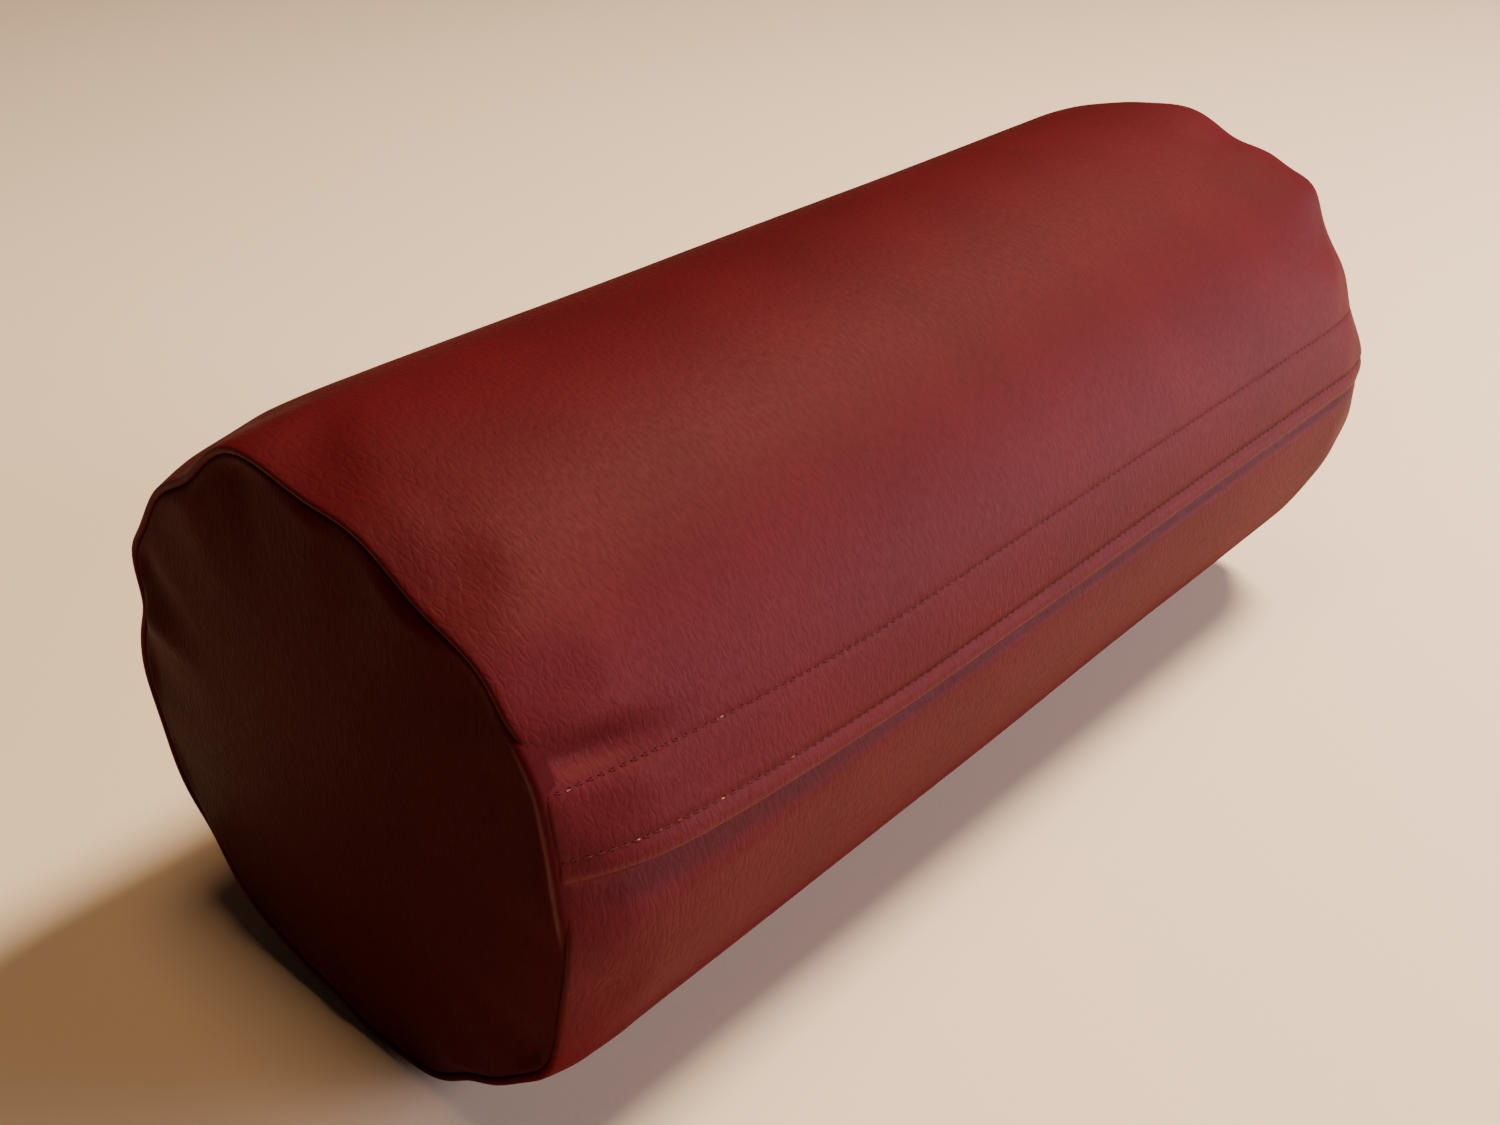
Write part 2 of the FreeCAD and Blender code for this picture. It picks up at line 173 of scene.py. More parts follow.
def bell(value, centre, width):
    """A soft bump: 1 at the centre and almost 0 at twice the width from it."""
    return np.exp(-(((value - centre) / width) ** 2))


def turn_gap(angle, centre):
    """Difference of two angles in degrees, from -180 to 180."""
    return (angle - centre + 180) % 360 - 180


def meridian(v):
    """x, r and the outward normal of the cover's lengthwise outline, v millimetres from its middle."""
    side, t = np.sign(v), np.abs(v)
    shoulder = np.clip(t - BARREL_HALF, 0, SEAM_V - BARREL_HALF) / SHOULDER_RADIUS
    turn = shoulder + np.clip(t - SEAM_V, 0, ROLL_LENGTH) / ROLL_RADIUS
    tail = np.clip(t - SEAM_V - ROLL_LENGTH, 0, None)
    x = np.minimum(t, BARREL_HALF) + SHOULDER_RADIUS * np.sin(shoulder)
    r = RADIUS - SHOULDER_RADIUS * (1 - np.cos(shoulder))
    x = x + ROLL_RADIUS * (np.sin(turn) - np.sin(shoulder)) + tail * np.cos(turn)
    r = r - ROLL_RADIUS * (np.cos(shoulder) - np.cos(turn)) - tail * np.sin(turn)
    return side * x, r, side * np.sin(turn), np.cos(turn)


def place(x, r, angle):
    """Points of the frame from the pillow's own x, radius and angle, flattened where the pillow rests."""
    a = np.radians(angle)
    y, z = -r * np.cos(a), AXIS_Z + r * np.sin(a)
    softness = 1.0
    z = 0.5 * (z + np.sqrt(z * z + softness * softness))
    return np.stack(np.broadcast_arrays(x, y, z), axis=-1)


def gathers(rows, angle, narrow=1.0):
    """Lift of an end seam at each angle."""
    return sum(rise * bell(turn_gap(angle, centre), 0, width * narrow) for centre, rise, width in rows)


def slack(v, angle):
    """Low uneven waves of the cover over the filling."""
    rng = np.random.default_rng(SLACK_SEED)
    wave = 0.0
    for turns in (2, 3, 4, 5, 7):
        for length in (420.0, 250.0, 160.0):
            phase, phase_x = rng.uniform(0, 360, 2)
            size = SLACK_HEIGHT * rng.uniform(0.4, 1.0) * length / 250.0
            along = np.cos(2 * math.pi * v / length + math.radians(phase_x))
            wave = wave + size * np.cos(np.radians(turns * angle + phase)) * along
    return wave


def formed_lift(v, angle):
    """The broad waves, the large gathers and the dents of the cover."""
    t = np.abs(v)
    inner = np.clip(SEAM_V - t, 0, None)
    out = slack(v, angle) * smooth(inner, 0, 40)
    for side, rows in ((-1, LEFT_GATHERS), (1, RIGHT_GATHERS)):
        near = np.where(side * v > 0, 1.0, 0.0)
        out = out + near * gathers(rows, angle) * np.exp(-((inner / GATHER_REACH) ** GATHER_FADE))
    for x, at, half_x, half_a, slant, depth in DENTS:
        along = v - x
        across = turn_gap(angle, at) * math.radians(1) * RADIUS - slant * along
        out = out - depth * bell(along, 0, half_x) * bell(across, 0, half_a * math.radians(1) * RADIUS)
    return out


def spline_weights(t):
    """Weights of the four nearest grid lines for a smooth cubic blend."""
    return (1 - t) ** 3 / 6, (3 * t**3 - 6 * t**2 + 4) / 6, (3 * t + 3 * t**2 - 3 * t**3 + 1) / 6, t**3 / 6


def puckers_at(v, angle):
    """The simulated cloth's stand-off, smoothly read from its grid."""
    if not puckers:
        return 0.0
    field, row_step = puckers
    rows, columns = field.shape
    row = np.clip((v + SEAM_V) / row_step, 0, rows - 1.0001)
    column = (angle % 360) / (360 / columns)
    row_now, column_now = np.floor(row).astype(int), np.floor(column).astype(int)
    out = 0.0
    for i, row_weight in enumerate(spline_weights(row - row_now)):
        for j, column_weight in enumerate(spline_weights(column - column_now)):
            near = field[np.clip(row_now + i - 1, 0, rows - 1), (column_now + j - 1) % columns]
            out = out + row_weight * column_weight * near
    zip_angle, zip_spread = HINGE - 7, 13
    free = 1 - smooth(np.abs(v), FREE_TO, CLOSED_FROM)
    return out * (1 - bell(turn_gap(angle, zip_angle), 0, zip_spread) * free)


def lift(v, angle):
    """How far the cover stands out from its plain outline."""
    return formed_lift(v, angle) + puckers_at(v, angle)


def cloth_seeds(angle, rng):
    """Small even waves that the gathering grows into puckers."""
    waves = [rng.uniform(0.4, 1) * np.cos(np.radians(turns * angle + rng.uniform(0, 360)))
             for turns in (11, 13, 14, 16, 18, 21)]
    return 0.4 * sum(waves)


def cloth_body():
    """The closed cover before it is gathered: rows of points from one end disc's middle to the other's."""
    rng = np.random.default_rng(CLOTH_SEED)
    rings = spaced(3 * CLOTH_STEP, CLOTH_RADIUS - CLOTH_STEP, CLOTH_STEP)
    along = spaced(-SEAM_V, SEAM_V, CLOTH_STEP)
    x = np.concatenate([np.full(len(rings), -SEAM_V), along, np.full(len(rings), SEAM_V)])[:, None]
    r = np.concatenate([rings, np.full(len(along), CLOTH_RADIUS), rings[::-1]])[:, None]
    angle = np.arange(CLOTH_COLUMNS)[None, :] * 360 / CLOTH_COLUMNS
    row = np.arange(len(x))[:, None]
    for seam in (len(rings), len(rings) + len(along) - 1):
        r = r + cloth_seeds(angle, rng) * bell((row - seam) * CLOTH_STEP, 0, 20)
    a = np.radians(angle)
    points = np.stack(np.broadcast_arrays(x, -r * np.cos(a), r * np.sin(a)), axis=-1)
    return points, len(rings), len(along)


def rows_group(piece, name, rows, weight=1.0):
    """Adds whole rows of the cloth's grid to a vertex group."""
    group = piece.vertex_groups.get(name) or piece.vertex_groups.new(name=name)
    for row in rows:
        group.add(list(range(row * CLOTH_COLUMNS, (row + 1) * CLOTH_COLUMNS)), weight, "REPLACE")


def settle(cover):
    """Runs the cloth simulation on the cover, removes the cover and returns its settled coordinates."""
    cloth = cover.modifiers.new("cloth", "CLOTH")
    cloth.collision_settings.use_collision = False
    cloth.collision_settings.use_self_collision = False
    cloth.point_cache.frame_start, cloth.point_cache.frame_end = 1, CLOTH_FRAMES
    settings = cloth.settings
    settings.quality = 6
    settings.mass = 0.3
    settings.tension_stiffness = settings.compression_stiffness = 40
    settings.shear_stiffness = 20
    settings.bending_stiffness = CLOTH_BENDING
    settings.tension_damping = settings.compression_damping = 15
    settings.shear_damping = 10
    settings.bending_damping = 2
    settings.air_damping = 3
    settings.use_pressure = True
    settings.uniform_pressure_force = CLOTH_PRESSURE
    settings.effector_weights.gravity = 0
    settings.vertex_group_shrink = "seam"
    settings.shrink_max = CLOTH_GATHERING
    settings.vertex_group_mass = "held"
    for step in range(1, CLOTH_FRAMES + 1):
        bpy.context.scene.frame_set(step)
    settled = cover.evaluated_get(bpy.context.evaluated_depsgraph_get())
    points = np.zeros(len(settled.data.vertices) * 3)
    settled.data.vertices.foreach_get("co", points)
    bpy.context.scene.frame_set(1)
    bpy.data.objects.remove(cover)
    return points / MM


def simulate_puckers():
    """Gathers a cloth cover to its end seams over a full filling.

    Returns how far the cloth stands off its mean outline, without the lowest waves, and the grid's step."""
    points, rings, along = cloth_body()
    rows = len(points)
    faces = grid_faces(rows, CLOTH_COLUMNS, closed=True)
    last = (rows - 1) * CLOTH_COLUMNS
    faces += [tuple(range(CLOTH_COLUMNS)), tuple(range(last + CLOTH_COLUMNS - 1, last - 1, -1))]
    cover = new_mesh("cloth_cover", points, faces)
    for seam in (rings, rings + along - 1):
        rows_group(cover, "seam", [seam - 1, seam + 1], 0.6)
        rows_group(cover, "seam", [seam])
    rows_group(cover, "held", [0, 1, 2, rows - 3, rows - 2, rows - 1])
    moved = settle(cover).reshape(rows, CLOTH_COLUMNS, 3)[rings:rings + along]

    waves = np.fft.rfft(np.hypot(moved[..., 1], moved[..., 2]), axis=1)
    lowest_kept = 4
    waves[:, :lowest_kept] = 0
    field = np.fft.irfft(waves, CLOTH_COLUMNS, axis=1)
    field = (np.roll(field, 1, axis=1) + 2 * field + np.roll(field, -1, axis=1)) / 4
    field = CLOTH_LIMIT * np.tanh(field * CLOTH_SHARE / CLOTH_LIMIT)
    return field, 2 * SEAM_V / (along - 1)


def lip(angle):
    """1 where the end panel's rim stands proud at the left seam, on the placket side."""
    begins, full, fades, ends = -6, 4, 31, 38
    angle = turn_gap(angle, 0)
    return smooth(angle, begins, full) * (1 - smooth(angle, fades, ends))


def seam_shift(v, angle):
    """How far the cover's edge reaches past the seam, endwards."""
    near = np.exp(-np.clip(SEAM_V - np.abs(v), 0, None) / 7.0)
    reach = np.where(v < 0, 0.6 - 1.3 * lip(angle), 0.2)
    return np.sign(v) * near * reach


def upper_drift(x):
    """Degrees by which the upper row climbs towards the left end."""
    return 5.5 * np.clip((-x - 100) / 120, 0, 1.05) ** 1.3


def lower_drift(x):
    """Degrees by which the flap's edge climbs towards the left end."""
    return 7.3 * np.clip((-x - 80) / 140, 0, 1.05) ** 1.5


def outer_angle(x, s):
    """Angle of the outer surface's point s, up to half way round above or below the hinge."""
    climb = upper_drift(x) * smooth(s, -45, UPPER_ROW)
    climb = climb + (lower_drift(x) - upper_drift(x)) * smooth(s, UPPER_ROW, EDGE_ROW)
    climb = climb * (1 - smooth(s, 30, 80))
    return HINGE - np.degrees(s / RADIUS) + climb


def underlap_angle(x, s):
    """Angle of the underlap's point s: its inner fold keeps clear of the slider."""
    held = smooth(np.abs(x), FREE_TO, CLOSED_FROM)
    share = np.clip((s - UNDERLAP_FOLD) / (STEP - UNDERLAP_FOLD), 0, 1)
    return HINGE - np.degrees(s / RADIUS) + lower_drift(x) * (share + (1 - share) * held)


def left_half(x):
    """1 at the left end, where the placket's layers stand farther apart, falling to 0 before the middle."""
    return 1 - smooth(x, -190, -90)


def outer_depth(x, s):
    """Depth of the outer surface: stitch rows, the valley beside the fold and the dip into the underlap."""
    left = left_half(x)
    upper_groove = 0.32 * bell(s, UPPER_ROW, 1.0) + 0.15 * bell(s, UPPER_ROW, 4.0)
    edge_groove = (0.45 + 0.35 * (1 - left)) * bell(s, EDGE_ROW, 1.4)
    fold_crown = (0.7 - 0.4 * left) * bell(s, FOLD - 2.5, 2.4) * (s < FOLD)
    dip_reach = 6.0 + 9.0 * left
    dip = (STEP_DEPTH + LEFT_GAP * left) * (1 - smooth(s, STEP, STEP + dip_reach)) * (s >= STEP)
    return upper_groove + edge_groove - fold_crown + dip


def flap_raise(x, s):
    """How far the flap's edge stands off the panel below."""
    free = smooth(215 - np.abs(x), 0, 34)
    return (0.2 + 1.1 * left_half(x)) * smooth(s, 12, FOLD) * free


def squeeze(v):
    """The placket's layers are pressed together towards the end seams."""
    return SEAM_SQUEEZE + (1 - SEAM_SQUEEZE) * smooth(SEAM_V - np.abs(v), 0, 26)


def surface(v, s, proud=0.0):
    """Points of the outer surface at pattern place (v, s)."""
    x, r, nx, nr = meridian(v)
    angle = outer_angle(x, s)
    depth = outer_depth(x, s) * squeeze(v) - proud - flap_raise(x, s) * (s < FOLD) * (s > 0)
    return place(x - depth * nx + seam_shift(v, angle), r - depth * nr + lift(v, angle), angle)


def new_mesh(name, points, faces, material=None):
    """A smooth-shaded mesh object from points in millimetres."""
    mesh = bpy.data.meshes.new(name)
    mesh.from_pydata((np.asarray(points).reshape(-1, 3) * MM).tolist(), [], faces)
    if material:
        mesh.materials.append(material)
    mesh.polygons.foreach_set("use_smooth", [True] * len(mesh.polygons))
    mesh.update()
    made = bpy.data.objects.new(name, mesh)
    bpy.context.scene.collection.objects.link(made)
    return made


def grid_faces(rows, columns, closed=False, first=0):
    """Quads of a rows x columns grid of points; closed joins the last column to the first."""
    index = np.arange(rows * columns).reshape(rows, columns) + first
    after = np.roll(index, -1, axis=1)
    if not closed:
        index, after = index[:, :-1], index[:, 1:]
    quads = np.stack([index[:-1], index[1:], after[1:], after[:-1]], axis=-1)
    return quads.reshape(-1, 4).tolist()


def pattern_attribute(piece, values):
    """Stores each point's place on the flat pattern, for the vinyl's grain, and a third value for rubbed
    edges and painted highlight lines.
    """
    attribute = piece.data.attributes.new("pattern", "FLOAT_VECTOR", "POINT")
    attribute.data.foreach_set("vector", np.asarray(values, np.float32).ravel())


def spaced(start, end, step):
    """Evenly spaced values from start to end, about a step apart."""
    return np.linspace(start, end, max(2, int(round(abs(end - start) / step)) + 1))


def stations():
    """Places along the cover, closer together near the end seams."""
    half = np.concatenate([
        spaced(0, 80, 3.0)[:-1], spaced(80, 185, 2.2)[:-1], spaced(185, SEAM_V, 1.3)[:-1],
        spaced(SEAM_V, SEAM_V + ROLL_LENGTH, 0.6)[:-1], spaced(SEAM_V + ROLL_LENGTH, TIP_V, 1.3),
    ])
    return np.concatenate([-half[:0:-1], half])


def fold_arc(centre, depth, radius):
    """A half circle's s and depth, from its inner side to its outer side."""
    points = 9
    t = np.linspace(0, math.pi, points)[1:-1]
    return centre + radius * np.sin(t), depth + radius * np.cos(t)


def pattern_columns():
    """The sheet's columns in order: flap underside, fold, all the way round, step, underlap, fold-back.

    Gives each column's s, its depth, its place across the flat pattern, and whether it is flap or outside."""
    flap_r, lap_r = FLAP_THICK / 2, UNDERLAP_THICK / 2
    under = spaced(ALLOWANCE, FOLD - flap_r, 1.3)
    bend_s, bend_d = fold_arc(FOLD - flap_r, flap_r, flap_r)
    outer = np.concatenate([
        spaced(FOLD - flap_r, -6, 0.65)[:-1], spaced(-6, -45, 1.3)[:-1],
        spaced(-45, 60 - AROUND, 2.5)[:-1],
        spaced(60 - AROUND, 44 - AROUND, 1.5)[:-1], spaced(44 - AROUND, STEP - AROUND, 0.8),
    ])
    lap = spaced(STEP, UNDERLAP_FOLD + lap_r, 1.0)[1:]
    tuck_s, tuck_d = fold_arc(UNDERLAP_FOLD + lap_r, STEP_DEPTH + lap_r, lap_r)
    tuck_s, tuck_d = 2 * (UNDERLAP_FOLD + lap_r) - tuck_s[::-1], tuck_d[::-1]
    back = spaced(UNDERLAP_FOLD + lap_r, 27.0, 1.3)
    s = np.concatenate([under, bend_s, outer, lap, tuck_s, back])
    is_flap = np.arange(len(s)) < len(under) + len(bend_s)
    is_outer = (np.arange(len(s)) >= is_flap.sum()) & (np.arange(len(s)) < is_flap.sum() + len(outer))
    base = np.concatenate([
        np.full(len(under), FLAP_THICK), bend_d, np.zeros(len(outer)),
        np.full(len(lap), STEP_DEPTH), tuck_d, np.full(len(back), STEP_DEPTH + UNDERLAP_THICK)])
    across = np.where(is_flap | is_outer, s, s - AROUND)
    s = np.where(is_outer & (s < -AROUND / 2), s + AROUND, s)
    return [values[None, :] for values in (s, base, across, is_flap, is_outer)]


def build_cover(material):
    """Body panel and placket in one sheet."""
    v = stations()[:, None]
    s, base, across, is_flap, is_outer = pattern_columns()
    x, r, nx, nr = meridian(v)
    on_lap = ~is_flap & ~is_outer
    from_end = np.maximum(-x - FACING_LEFT, x - FACING_RIGHT)
    widen = smooth(from_end, 0, FACING_RISE) * (STEP - s) / (STEP - UNDERLAP_FOLD)
    angle = np.where(on_lap, underlap_angle(x, s - FACING_REACH * widen), outer_angle(x, s))
    depth = np.where(is_outer, outer_depth(x, s), base + LEFT_GAP * left_half(x) * on_lap)
    raised = flap_raise(x, s) * (is_flap | is_outer) * (s > 0) * (s < FOLD)
    depth = depth * squeeze(v) - raised
    points = place(x - depth * nx + seam_shift(v, angle), r - depth * nr + lift(v, angle), angle)

    cover = new_mesh("cover_panel", points, grid_faces(*points.shape[:2]), material)
    # Lighter colour and more gloss along the flap's fold: partly a rubbed edge, partly a painted highlight
    # line
    wear_and_highlight = 0.5 * bell(s, FOLD, 2.2) * (is_flap | is_outer)
    pattern_attribute(cover, np.stack(np.broadcast_arrays(v, across, wear_and_highlight), axis=-1))

    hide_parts("body_panel", "placket_flap")
    bend_with_flap(cover)


def bend_with_flap(piece):
    """Bakes the piece's transform into its points; it does not blend it with the flap."""
    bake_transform(piece)


def end_outline():
    """x and radius of an end panel from near its middle, over its rolled rim and into the seam."""
    start = END_RIM - END_ROLL
    radii = np.concatenate([spaced(2.0, 70, 4.0)[:-1], spaced(70, start, 1.2)])
    x = END_SEAM_X + (DISC_X - END_SEAM_X) * (1 - (radii / start) ** 2)
    bend = np.linspace(0, math.pi / 2, 9)[1:]
    inner = END_SEAM_X - END_ROLL
    x = np.concatenate([x, inner + END_ROLL * np.cos(bend), [inner - 2.0, inner - 4.0]])
    radii = np.concatenate([radii, start + END_ROLL * np.sin(bend), [END_RIM, END_RIM]])
    return x[:, None], radii[:, None]


def end_surface(side):
    """Points of an end panel, ring by ring, and the painted highlight line along the left rim, which the
    vinyl reads as a rubbed edge.
    """
    rows = LEFT_GATHERS if side < 0 else RIGHT_GATHERS
    x, radii = end_outline()
    angle = np.arange(0, 360, 360 / END_COLUMNS)[None, :]
    rim_lip = lip(angle) if side < 0 else 0.0
    near_rim = smooth(radii, 45, END_RIM) ** 1.5
    out = (gathers(rows, angle) + puckers_at(side * SEAM_V + 0 * angle, angle)) * near_rim
    out = out + 1.3 * rim_lip * smooth(radii, 80, 90)
    proud = 1.1 * rim_lip * smooth(radii, 76, 90)
    ripple = 0.75 * gathers(rows, angle, 0.8) * near_rim * (1 - smooth(radii, 87, 92))
    sag = 0.5 * np.cos(np.radians(2 * angle + 40)) * (radii / END_RIM) ** 2 * (1 - smooth(radii, 80, 92))
    points = place(side * (x + proud - ripple + sag), radii + out, angle)
    # Painted highlight: a thin lighter line where the proud left rim turns; it also adds gloss
    return points, 0.9 * rim_lip * bell(radii, END_RIM - 1.4, 0.6) + 0 * angle


def build_end_panel(side, name, material):
    """An end disc: shallow dome, a rolled rim that follows the gathers, its edge turned into the seam."""
    points, worn_and_highlit = end_surface(side)
    centre = place(np.array([side * DISC_X]), np.array([0.0]), np.array([0.0]))
    middle = points.shape[0] * END_COLUMNS
    faces = grid_faces(points.shape[0], END_COLUMNS, closed=True)
    faces += [(middle, k, (k + 1) % END_COLUMNS) for k in range(END_COLUMNS)]
    if side > 0:
        faces = [tuple(reversed(face)) for face in faces]
    everything = np.concatenate([points.reshape(-1, 3), centre])
    panel = new_mesh(name, everything, faces, material)
    clear_of_needle_holes = 500.0
    across = everything[:, 2] * 0.8 + clear_of_needle_holes
    pattern_attribute(panel, np.stack([everything[:, 1], across, np.append(worn_and_highlit.ravel(), 0.0)], axis=-1))
    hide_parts("end_panel_left" if side < 0 else "end_panel_right")
    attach(panel, "cover")


def unit(vectors):
    """Vectors of the same directions, each of length 1."""
    return vectors / np.linalg.norm(vectors, axis=1)[:, None]


def tube(line, one, two, radius, sides):
    """Rings of points round a line; one and two are unit vectors across it."""
    turn = np.linspace(2 * math.pi, 0, sides, endpoint=False)[None, :, None]
    return line[:, None] + radius * (np.cos(turn) * one[:, None] + np.sin(turn) * two[:, None])


def build_stitches(name, row, material):
    """One row of topstitching: each stitch is a short thread between two needle holes."""
    sides = 6
    half_row = 218
    lie = np.array([-0.50, -0.16, 0.00, 0.04, 0.00, -0.16, -0.50])
    reach = np.array([-0.5, -0.46, -0.3, 0.0, 0.3, 0.46, 0.5]) * STITCH_LENGTH
    points, faces = [], []
    rng = np.random.default_rng(int(row) + 5)
    count = 2 * int(half_row / PITCH)
    for k in range(count):
        v = (k - (count - 1) / 2) * PITCH + reach
        wander = row + rng.normal(0, 0.08)
        line = surface(v, np.full_like(v, wander), lie + rng.normal(0, 0.03))
        out = line - np.array([0, 0, AXIS_Z])
        out[:, 0] = 0
        out = unit(out)
        across = unit(np.cross(np.gradient(line, axis=0), out))
        first = len(points) * len(reach) * sides
        last = first + (len(reach) - 1) * sides
        points.append(tube(line, out, across, THREAD_RADIUS, sides))
        faces += grid_faces(len(reach), sides, closed=True, first=first)
        faces += [tuple(range(first, first + sides)), tuple(range(last + sides - 1, last - 1, -1))]
    piece = new_mesh(name, np.concatenate(points), faces, material)
    return piece


def build_coil(name, node, side, material):
    """A zip coil: filament wound along the tape's edge, half a turn out of step with the other coil."""
    low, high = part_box("zip_tape_upper")
    start, length = low.x / MM + 1, (high.x - low.x) / MM - 2
    steps, sides = 10, 5
    t = np.arange(int(length / COIL_PITCH) * steps + 1) / steps
    around = 2 * math.pi * t
    x = start + (t + 0.25 * side) * COIL_PITCH
    s = CHAIN + side * (COIL_REACH / 2 + 0.2 + COIL_REACH / 2 * np.cos(around))
    r = RADIUS - COIL_DEPTH - COIL_HEIGHT / 2 * np.sin(around)
    angle = math.radians(HINGE) - s / RADIUS
    line = np.stack([x, -r * np.cos(angle), AXIS_Z + r * np.sin(angle)], axis=-1)
    ahead = unit(np.gradient(line, axis=0))
    one = unit(np.cross(ahead, np.array([1.0, 0.2, 0.1])))
    rings = tube(line, one, np.cross(ahead, one), COIL_WIRE, sides)
    piece = new_mesh(name, rings, grid_faces(len(line), sides, closed=True), material)
    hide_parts(node)
    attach(piece, "cover")


def closed_body(name, profile, moved, material, columns=150):
    """A closed solid of revolution about the pillow's axis; moved(x, r, angle) gives its points."""
    angle = np.linspace(0, 360, columns, endpoint=False)[None, :]
    x, r = (np.array(side, float)[:, None] for side in zip(*profile))
    points = moved(x + 0 * angle, r + 0 * angle, angle + 0 * x)
    return new_mesh(name, points, grid_faces(*points.shape[:2], closed=True), material)


def under_cover(x, r, angle):
    """Moves a filling point with the cover's dents and the placket's hollow."""
    near_surface = smooth(r, 84, 94)
    dented = np.minimum(lift(x, angle), 0) * near_surface
    s = np.radians(turn_gap(HINGE, angle)) * RADIUS
    hollow = smooth(s, -13, -8) * (1 - smooth(s, 31, 36)) * (1 - smooth(np.abs(x), 190, 196))
    return place(x, r + dented - 6.2 * hollow * near_surface, angle)


def wrap_body(material):
    """The batting round the foam, hollowed under the placket."""
    half = CORE_HALF + 0.2
    outside, inside = RADIUS - 4.0, RADIUS - 15.0
    shoulder = [(half - 2, outside - 3.0), (half, outside - 7.0)]
    along = spaced(-half + 6, half - 6, 4.0)
    profile = [(x, outside - 1.5 * float(smooth(abs(x), 185, 200))) for x in along] + shoulder
    profile += [(x, inside) for x in spaced(half, -half, 12.0)]
    profile += [(-x, r) for x, r in reversed(shoulder)]
    profile.append(profile[0])
    return closed_body("batting_roll", profile, under_cover, material, 200)


def core_body(material):
    """The foam core, with its edges a little rounded."""
    profile = [(-CORE_HALF, 0.5), (-CORE_HALF, CORE_RADIUS - 4), (-CORE_HALF + 1, CORE_RADIUS - 1)]
    profile += [(x, CORE_RADIUS) for x in spaced(-CORE_HALF + 4, CORE_HALF - 4, 12.0)]
    profile += [(-x, r) for x, r in profile[2::-1]]
    return closed_body("foam_roll", profile, place, material)


def batting_end_body(side, name, material):
    """The batting disc between the core and an end panel."""
    low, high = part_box("batting_end_" + name)
    inner, outer = (low.x, high.x) if side > 0 else (high.x, low.x)
    inner, outer = inner / MM, outer / MM
    profile = [(inner, 0.5), (inner, 86), (inner + side * 1.5, 88), (outer - side * 4, 87.5)]
    profile += [(outer - side, 84), (outer, 78), (outer, 40), (outer, 0.5)]
    return closed_body("batting_disc_" + name, profile[::side], place, material)


def build_filling(batting, foam):
    """Foam core, batting wrap and the two batting ends."""
    wrap = wrap_body(batting)
    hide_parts("batting_wrap")
    core = core_body(foam)
    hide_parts("foam_core")
    ends = []
    for side, name in ((-1, "left"), (1, "right")):
        end = batting_end_body(side, name, batting)
        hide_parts("batting_end_" + name)
        ends.append(end)
    for piece in [wrap, core, *ends]:
        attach(piece, "cover")


class Nodes:
    """Short calls for building a node material."""

    def __init__(self, name):
        self.material = bpy.data.materials.new(name)
        self.material.use_nodes = True
        self.tree = self.material.node_tree
        self.shader = self.tree.nodes["Principled BSDF"]

    def add(self, kind, **settings):
        node = self.tree.nodes.new(kind)
        for key, value in settings.items():
            setattr(node, key, value)
        return node

    def join(self, output, target):
        self.tree.links.new(output, target)

    def feed(self, node, index, value):
        """Joins a socket to an input, or sets the input's own value."""
        if isinstance(value, bpy.types.NodeSocket):
            self.join(value, node.inputs[index])
        else:
            node.inputs[index].default_value = value

    def math(self, operation, *values):
        node = self.add("ShaderNodeMath", operation=operation)
        for index, value in enumerate(values):
            self.feed(node, index, value)
        return node.outputs[0]

    def scaled(self, vector, factors):
        node = self.add("ShaderNodeVectorMath", operation="MULTIPLY")
        self.join(vector, node.inputs[0])
        node.inputs[1].default_value = factors
        return node.outputs[0]

    def noise(self, vector, scale, detail=3.0, roughness=0.5):
        node = self.add("ShaderNodeTexNoise")
        self.join(vector, node.inputs["Vector"])
        node.inputs["Scale"].default_value = scale
        node.inputs["Detail"].default_value = detail
        node.inputs["Roughness"].default_value = roughness
        return node

    def span(self, value, low, high, to_low=0.0, to_high=1.0):
        """Carries the range from low to high onto the range from to_low to to_high, held at its ends."""
        node = self.add("ShaderNodeMapRange")
        for index, item in enumerate((value, low, high, to_low, to_high)):
            self.feed(node, index, item)
        return node.outputs[0]

    def mix(self, share, one, two):
        node = self.add("ShaderNodeMix", data_type="RGBA")
        self.feed(node, 0, share)
        self.feed(node, 6, one)
        self.feed(node, 7, two)
        return node.outputs[2]

    def bump(self, height, distance, strength=1.0, below=None):
        """A normal raised by the height, distance being in millimetres; below is a normal to add to."""
        node = self.add("ShaderNodeBump")
        node.inputs["Strength"].default_value = strength
        node.inputs["Distance"].default_value = distance * MM
        self.join(height, node.inputs["Height"])
        if below is not None:
            self.join(below, node.inputs["Normal"])
        return node.outputs[0]

    def set(self, **sockets):
        """Sets or joins the shader's own inputs by name."""
        for key, value in sockets.items():
            self.feed(self.shader, key.replace("_", " "), value)


def drawn_grain(n, flat):
    """Vinyl grain: fine streaks, their creases and pores. Gives the streaks and the whole height."""
    waver = n.noise(flat, 0.16, 2.0)
    moved = n.add("ShaderNodeVectorMath", operation="MULTIPLY_ADD")
    n.join(waver.outputs["Color"], moved.inputs[0])
    moved.inputs[1].default_value = (2.2, 2.2, 0.0)
    n.join(flat, moved.inputs[2])
    drawn = n.scaled(moved.outputs[0], (0.44, 0.18, 0.0))
    cells = n.add("ShaderNodeTexVoronoi", feature="DISTANCE_TO_EDGE")
    n.join(drawn, cells.inputs["Vector"])
    cells.inputs["Scale"].default_value = 1.0
    crease = n.span(cells.outputs["Distance"], 0.0, 0.2)
    streaks = n.noise(drawn, 1.7, 5.0, 0.62).outputs[0]
    pores = n.noise(flat, 2.6, 2.0, 0.6).outputs[0]
    height = n.math("ADD", n.math("MULTIPLY", crease, 0.34), n.math("MULTIPLY", streaks, 1.1))
    return streaks, n.math("ADD", height, n.math("MULTIPLY", pores, 0.22))


